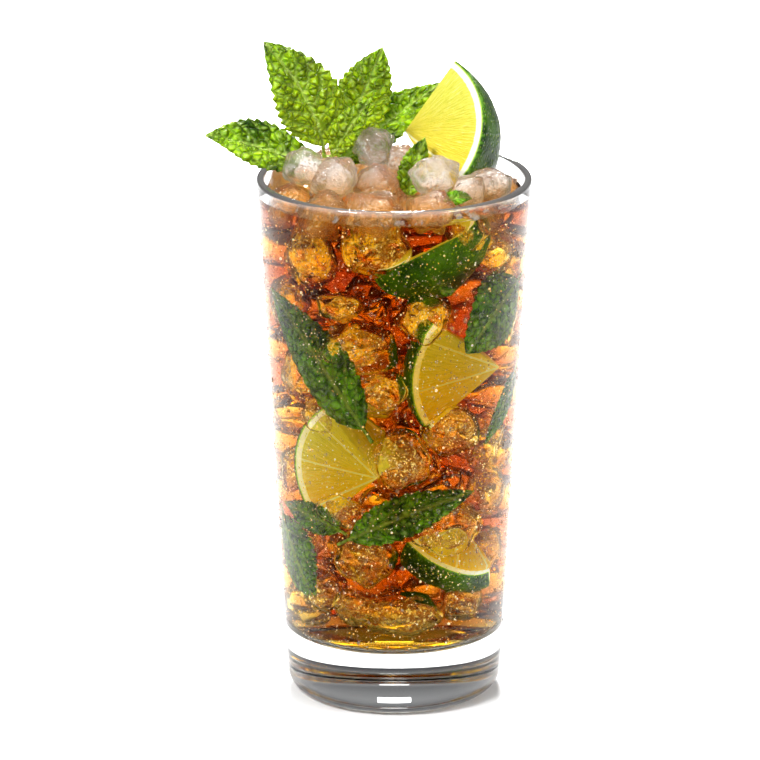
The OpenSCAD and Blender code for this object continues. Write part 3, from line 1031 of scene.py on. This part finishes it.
# Sprig leaves: height of the stalk above the drink, way to the middle and to the tip, width,
# upper side, fold, youth.
SPRIG_LEAVES = [
    (9.2, (-1, -2, 17), (-16.8, -3, 34.5), 20, (0.3, -0.93, 0.15), 14, 1.1),
    (7.4, (9.5, 7.5, 17.5), (15, 7, 32), 17.5, (0.2, -0.95, 0.2), 18, 1.3),
    (5.2, (-18, -4, 8.8), (-33.8, -6, 12), 17, (-0.15, -0.65, 0.75), 24, 0.1),
    (4.4, (11, 9, 10), (32, 10, 24), 15, (-0.3, -0.85, 0.6), 16, 0.1),
    (8.4, (5, -6, 10), (12, -5, 19.5), 10, (-0.4, -0.85, 0.3), 30, 0.9),
]
STEM_TOP = (-19.2, 5.5, 9.5)
STEM_FOOT = (-17.0, 7.0, -14.0)
STEM_D = 2.8

# Leaves in the drink: three points of the midrib, width, upper side, fold.
SUNK_LEAVES = [
    ((-6, -31, 83), (-17, -30, 101), (-32.5, -10, 122), 17.5, (-0.35, -0.93, 0.1), 16),
    ((33, -5, 125), (27.5, -21.5, 119), (19.5, -27, 108), 22, (0.75, -0.65, 0.1), 12),
    ((32, -4, 98), (30, -12, 91), (24.5, -19.5, 79), 8, (0.85, -0.5, 0.1), 24),
    ((-15.5, -26, 51), (0, -31.5, 61), (21.5, -21, 65.5), 13, (0.05, -0.97, 0.25), 20),
    ((-29.5, -4, 56), (-28, -14.5, 44), (-21, -17.5, 32), 18, (-0.75, -0.65, 0.1), 14),
    ((-13, -25, 54), (-21, -22, 57.5), (-29, -8, 58), 9, (-0.4, -0.9, 0.2), 18),
    ((12, -30, 128), (14, -31, 126.5), (16.5, -29.5, 127.5), 3.2, (0.3, -0.93, 0.1), 18),
    ((13.5, -24.5, 150.5), (17, -25.5, 153), (21.5, -24, 152), 5, (0.3, -0.7, 0.6), 25),
]


class DRINK_OT_mint(bpy.types.Operator):
    """Makes the mint sprig, the loose leaf and the leaves in the drink"""
    bl_idname = "drink.mint"
    bl_label = "Mint"

    def execute(self, context):
        # The fourth colour is the painted shade in the furrows, the last number the strength of the
        # painted glow.
        fresh = mint_material("Fresh mint", (0.012, 0.055, 0.0), (0.42, 0.70, 0.007),
                              (0.10, 0.18, 0.08), 0.08)
        steeped = mint_material("Steeped mint", (0.018, 0.10, 0.0), (0.22, 0.56, 0.005),
                                (0.12, 0.2, 0.1), 0.07)
        raise_by = np.array((0, 0, level()))
        foot, top = np.array(STEM_FOOT) + raise_by, np.array(STEM_TOP) + raise_by
        parts = [rod([foot + (top - foot) * k / 12 for k in range(13)], STEM_D / 2)]
        for k, (height, mid, end, width, upward, fold, young) in enumerate(SPRIG_LEAVES):
            side = unit((end[0], end[1], 0))
            rise = (level() + height - foot[2]) / (top[2] - foot[2])
            start = foot + (top - foot) * rise + side * STEM_D / 4
            parts.append(leaf((start, start + mid, start + end), width, upward, fold, young=young,
                              seed=1.0 + k))
        points, faces, values = gather(parts)
        settle(make_piece("mint_sprig_leaves", points, faces, fresh, "mint", values, recalc=True),
               "mint_sprig")
        start = np.array((4.0, -10.0, level() + 0.5))
        points, faces, values = leaf((start, start + (0.2, -1, 9), start + (4.6, -0.5, 18.8)), 9,
                                     (0.15, -1, 0.1), 14, young=0.2, seed=8.0)
        settle(make_piece("mint_loose_leaf", points, faces, fresh, "mint", values, recalc=True),
               "mint_leaf")
        parts = [leaf(middle, width, upward, fold, young=0.1, seed=20.0 + k, rows=84, across=20)
                 for k, (*middle, width, upward, fold) in enumerate(SUNK_LEAVES)]
        points, faces, values = gather(parts)
        points = press_inside(points, 0.3)
        settle(make_piece("mint_sunk_leaves", points, faces, steeped, "mint", values, recalc=True))
        return {"FINISHED"}


# Radius: the least, the mean of what comes on top, the most. Inset: the same, from the wall.
BUBBLE_R, BUBBLE_INSET = (0.10, 0.055, 0.5), (0.35, 1.1)
DROPLET_R, DROPLET_FLAT = (0.13, 0.09, 0.6), 0.55


class DRINK_OT_bubbles(bpy.types.Operator):
    """Adds bubbles in the drink and a mist of droplets on the glass"""
    bl_idname = "drink.bubbles"
    bl_label = "Bubbles and droplets"

    def execute(self, context):
        s = settings()
        draw = np.random.default_rng(21)
        points, sizes = [], []
        for k in range(s.bubble_count):
            z = draw.uniform(s.base_t + 2, level() - 1)
            inset = BUBBLE_INSET[0] + draw.exponential(BUBBLE_INSET[1])
            a = draw.uniform(0, 2 * math.pi)
            r = max(2.0, inner_r(z) - inset)
            size = self.radius(draw, BUBBLE_R)
            points.append((r * math.cos(a), r * math.sin(a), z))
            sizes.append((size,) * 3)
        settle(scatter("bubbles", points, sizes, np.zeros((len(points), 3)), 5, bubble_material(),
                       "drink"))
        points, sizes, turns = [], [], []
        for k in range(s.mist_count):
            z = draw.uniform(s.base_t + 1, GLASS_H - 14)
            a = draw.uniform(0, 2 * math.pi)
            size = self.radius(draw, DROPLET_R)
            points.append((outer_r(z) * math.cos(a), outer_r(z) * math.sin(a), z))
            sizes.append((size * DROPLET_FLAT, size, size * draw.uniform(1.0, 1.5)))
            turns.append((0, 0, a))
        settle(scatter("droplets", points, sizes, turns, 6, droplet_material(), "glass"))
        return {"FINISHED"}

    def radius(self, draw, reach):
        return min(reach[2], reach[0] + draw.exponential(reach[1]))


# ---- Stage ----

CAMERA_AT = (-0.00402, -1.7192, 0.6246)
CAMERA_TILT = math.radians(72.77)
CAMERA_LENS = 298.8
SENSOR = 36.0

# Soft boxes: name, place, the point that it faces, width, height, power in watts, spread in
# degrees.
SOFT_BOXES = [
    ("key", (-0.9, -0.9, 1.3), (0, 0, 0.09), 0.5, 0.5, 1.3, 30),
    ("fill", (1.1, -0.8, 0.9), (0, 0, 0.09), 0.5, 0.5, 0.4, 30),
    ("top", (0.0, 0.45, 1.5), (0, 0.40, 0.0), 0.4, 0.7, 2.3, 34),
    ("back", (0.0, 1.1, 0.75), (0, 0.36, 0.0), 0.25, 0.25, 5.0, 56),
]


LIGHT_PATHS = {"max_bounces": 40, "transmission_bounces": 40, "glossy_bounces": 12,
               "diffuse_bounces": 4, "transparent_max_bounces": 24, "sample_clamp_indirect": 4.0}
FLOOR_HALF = 8.0


class DRINK_OT_stage(bpy.types.Operator):
    """Sets the pale floor, the soft studio light and the camera"""
    bl_idname = "drink.stage"
    bl_label = "Stage"

    def execute(self, context):
        scene = context.scene
        s = Shader("Pale floor")
        tone = s.mix(s.noise(3, 2), (0.88, 0.88, 0.88), (0.90, 0.90, 0.90))
        paint = s.finish(Base_Color=tone, Roughness=0.9)
        mesh = bpy.data.meshes.new("floor")
        corners = [(x * FLOOR_HALF, y * FLOOR_HALF, 0)
                   for x, y in ((-1, -1), (1, -1), (1, 1), (-1, 1))]
        mesh.from_pydata(corners, [], [(0, 1, 2, 3)])
        mesh.materials.append(paint)
        add_object("floor", mesh)
        for name, at, target, width, height, power, spread in SOFT_BOXES:
            data = bpy.data.lights.new(name, "AREA")
            data.shape, data.size, data.size_y, data.energy = "RECTANGLE", width, height, power
            data.spread = math.radians(spread)
            lamp = add_object(name, data)
            lamp.location = at
            lamp.rotation_euler = (Vector(at) - Vector(target)).to_track_quat("Z", "Y").to_euler()
            lamp.visible_camera = False
        world = bpy.data.worlds.new("Studio")
        scene.world = world
        world.use_nodes = True
        self.light_world(world.node_tree)
        data = bpy.data.cameras.new("camera")
        data.lens, data.sensor_width = CAMERA_LENS, SENSOR
        data.clip_start, data.clip_end = 0.05, 40.0
        camera = add_object("camera", data)
        camera.location, camera.rotation_euler = CAMERA_AT, (CAMERA_TILT, 0, 0)
        scene.camera = camera
        scene.view_settings.view_transform = "Standard"
        for name, value in LIGHT_PATHS.items():
            setattr(scene.cycles, name, value)
        return {"FINISHED"}

    def light_world(self, tree):
        """A soft dome: bright overhead, darker towards the horizon."""
        coords, split, ramp = (tree.nodes.new("ShaderNode" + kind)
                               for kind in ("TexCoord", "SeparateXYZ", "ValToRGB"))
        low, high = ramp.color_ramp.elements
        low.position, low.color = 0.08, (0.24, 0.24, 0.245, 1)
        high.position, high.color = 0.75, (1, 1, 1, 1)
        tree.links.new(coords.outputs["Generated"], split.inputs[0])
        tree.links.new(split.outputs["Z"], ramp.inputs[0])
        tree.links.new(ramp.outputs[0], tree.nodes["Background"].inputs["Color"])
        tree.nodes["Background"].inputs["Strength"].default_value = 0.5


class DRINK_PT_panel(bpy.types.Panel):
    """Lists the pieces of the drink"""
    bl_idname = "DRINK_PT_panel"
    bl_label = "Iced drink"
    bl_space_type = "VIEW_3D"
    bl_region_type = "UI"
    bl_category = "Drink"

    def draw(self, context):
        for name in DrinkSettings.__annotations__:
            self.layout.prop(context.scene.iced_drink, name)
        for operator in OPERATORS:
            self.layout.operator(operator.bl_idname)


OPERATORS = (DRINK_OT_stage, DRINK_OT_glass, DRINK_OT_drink, DRINK_OT_ice, DRINK_OT_chips,
             DRINK_OT_lime, DRINK_OT_mint, DRINK_OT_bubbles)
CLASSES = (DrinkSettings, *OPERATORS, DRINK_PT_panel)


def register():
    for cls in CLASSES:
        bpy.utils.register_class(cls)
    bpy.types.Scene.iced_drink = PointerProperty(type=DrinkSettings)


def unregister():
    del bpy.types.Scene.iced_drink
    for cls in reversed(CLASSES):
        bpy.utils.unregister_class(cls)


def main():
    register()
    for operator in OPERATORS:
        group, name = operator.bl_idname.split(".")
        getattr(getattr(bpy.ops, group), name)()


if __name__ == "__main__":
    main()
